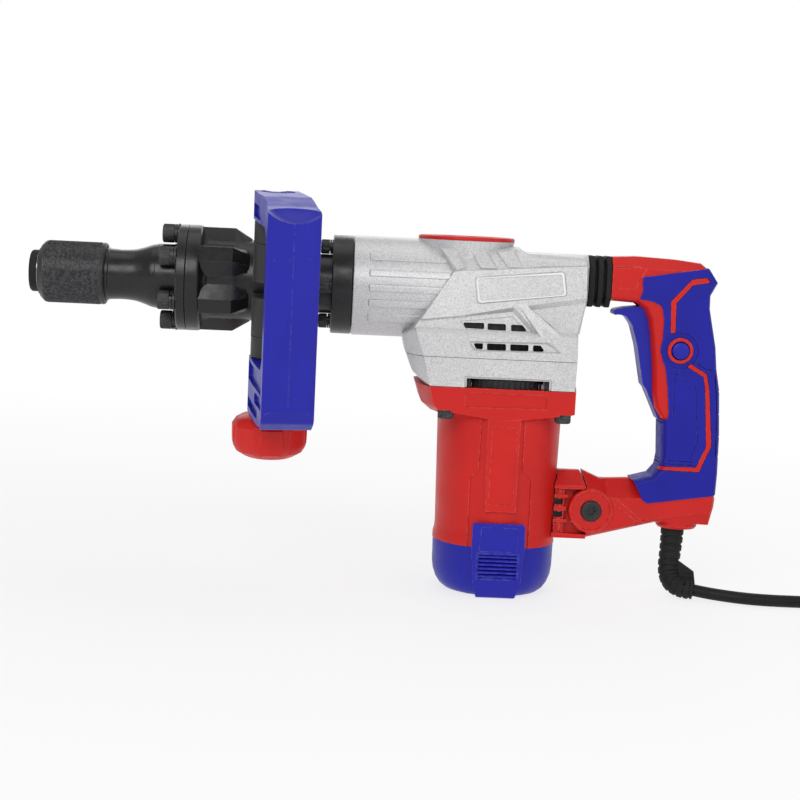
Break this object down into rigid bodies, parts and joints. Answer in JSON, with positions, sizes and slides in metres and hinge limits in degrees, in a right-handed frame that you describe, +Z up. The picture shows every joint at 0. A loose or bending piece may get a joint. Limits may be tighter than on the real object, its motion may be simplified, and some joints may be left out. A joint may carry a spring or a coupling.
{
  "type": "electric demolition hammer",
  "caption": "Light electric demolition hammer with hexagon tool socket, knurled sleeve, clamp-on D-shaped side handle, upright motor, sprung rear D-handle with trigger, and coiled mains cord.",
  "frame": {"origin": "centre of the mouth of the tool socket, on the barrel axis", "axes": "+X back along the barrel axis to the rear handle, -X out of the tool socket, +Z up, away from the motor, -Y the side that the side handle and the cord lie on"},
  "size_m": [0.6672, 0.2068, 0.2725],
  "materials": {
    "black_steel": "black oxide, satin",
    "steel": "ground",
    "black_paint": "satin black",
    "silver_paint": "speckled silver paint",
    "red_plastic": "fine texture",
    "blue_plastic": "fine texture",
    "blue_rubber": "soft overmould",
    "grey_plastic": "glass-filled nylon",
    "black_plastic": "fine texture",
    "black_rubber": "matt",
    "copper": "enamelled copper",
    "laminated_steel": "stacked sheet",
    "carbon": "graphite"
  },
  "bodies": {
    "hammer": {"front_ring": "black_rubber", "tool_holder": "steel", "locking_balls": "steel", "sleeve_spring": "steel", "nose_housing": "black_paint", "nose_bolts": "black_steel", "spring_washers": "black_steel", "damper_ring": "black_rubber", "cylinder_case": "black_paint", "neck_bolts": "black_steel", "cylinder": "steel", "crank_bearings": "steel", "crank_housing": "silver_paint", "inner_housing": "silver_paint", "top_cover": "red_plastic", "fan_baffle": "black_plastic", "motor_housing": "red_plastic", "motor_housing_bolts": "black_steel", "stator": "laminated_steel", "field_windings": "copper", "motor_bearings": "steel", "brush_holders": "copper", "carbon_brushes": "carbon", "end_cap": "blue_plastic", "end_cap_screws": "black_steel", "handle_bracket": "red_plastic", "pivot_bolt": "black_steel", "pivot_nut": "black_steel", "bellows": "black_rubber", "handle_spring": "steel"},
    "sleeve": {"chuck_sleeve": "black_steel"},
    "impact_bolt": {"impact_bolt": "steel"},
    "striker": {"striker": "steel", "striker_o_ring": "black_rubber"},
    "piston": {"piston": "steel", "wrist_pin": "steel"},
    "rod": {"connecting_rod": "steel", "crank_pin": "steel"},
    "crank": {"crank_gear": "steel"},
    "armature": {"armature_shaft": "steel", "armature_core": "laminated_steel", "commutator": "copper", "cooling_fan": "black_plastic"},
    "rear_handle": {"handle_shell_left": "red_plastic", "handle_shell_right": "red_plastic", "grip_cover": "blue_rubber", "trigger_pin": "steel", "trigger_spring": "steel", "switch_body": "black_plastic", "handle_screws": "black_steel", "strain_relief": "black_rubber", "power_cord": "black_rubber", "cord_coil": "black_rubber", "plug": "black_plastic"},
    "trigger": {"trigger": "blue_plastic"},
    "lock_button": {"lock_button": "blue_plastic"},
    "side_clamp": {"side_clamp": "grey_plastic", "side_handle_bolt": "steel"},
    "side_loop": {"side_handle_loop": "blue_plastic"},
    "side_knob": {"side_handle_knob": "red_plastic"}
  },
  "joints": [
    {"name": "sleeve_slide", "type": "slide", "parent": "hammer", "child": "sleeve", "axis": [1, 0, 0], "range_m": [0, 0.0065], "stiffness_N_per_m": 1500, "springref_m": -0.003, "deforming": ["sleeve_spring"]},
    {"name": "impact_bolt_slide", "type": "slide", "parent": "hammer", "child": "impact_bolt", "axis": [1, 0, 0], "range_m": [0, 0.008]},
    {"name": "striker_slide", "type": "slide", "parent": "hammer", "child": "striker", "axis": [1, 0, 0], "range_m": [-0.012, 0.012]},
    {"name": "piston_slide", "type": "slide", "parent": "hammer", "child": "piston", "axis": [1, 0, 0], "range_m": [0, 0.024]},
    {"name": "rod_swing", "type": "hinge", "parent": "piston", "child": "rod", "pos_m": [0.226, 0, 0], "axis": [0, 0, 1], "range_deg": [-11.4, 11.4]},
    {"name": "crank_spin", "type": "hinge", "parent": "hammer", "child": "crank", "pos_m": [0.299, 0, 0], "axis": [0, 0, 1], "continuous": true},
    {"name": "armature_spin", "type": "hinge", "parent": "hammer", "child": "armature", "pos_m": [0.328, 0, 0], "axis": [0, 0, 1], "continuous": true},
    {"name": "handle_pivot", "type": "hinge", "parent": "hammer", "child": "rear_handle", "pos_m": [0.394, 0, -0.149], "axis": [0, 1, 0], "range_deg": [-1.8, 0], "stiffness_Nm_per_rad": 260, "springref_deg": 1.15, "deforming": ["bellows", "handle_spring"]},
    {"name": "trigger_squeeze", "type": "hinge", "parent": "rear_handle", "child": "trigger", "pos_m": [0.441, 0, -0.08], "axis": [0, 1, 0], "range_deg": [0, 5], "stiffness_Nm_per_rad": 2, "springref_deg": -5.73, "deforming": ["trigger_spring"]},
    {"name": "lock_button_press", "type": "slide", "parent": "rear_handle", "child": "lock_button", "axis": [0, 1, 0], "range_m": [0, 0.0025], "stiffness_N_per_m": 800, "springref_m": -0.001},
    {"name": "side_handle_turn", "type": "hinge", "parent": "hammer", "child": "side_clamp", "pos_m": [0.169, 0, 0], "axis": [1, 0, 0], "continuous": true},
    {"name": "side_handle_swing", "type": "hinge", "parent": "side_clamp", "child": "side_loop", "pos_m": [0.169, -0.04184, -0.00366], "axis": [0, -0.0872, 0.9962], "range_deg": [-40, 40]},
    {"name": "side_knob_turn", "type": "hinge", "parent": "side_clamp", "child": "side_knob", "pos_m": [0.169, -0.04184, -0.00366], "axis": [0, -0.0872, 0.9962], "continuous": true}
  ],
  "couplings": [
    {"joint": "crank_spin", "follows": "armature_spin", "ratio": -0.20833}
  ]
}
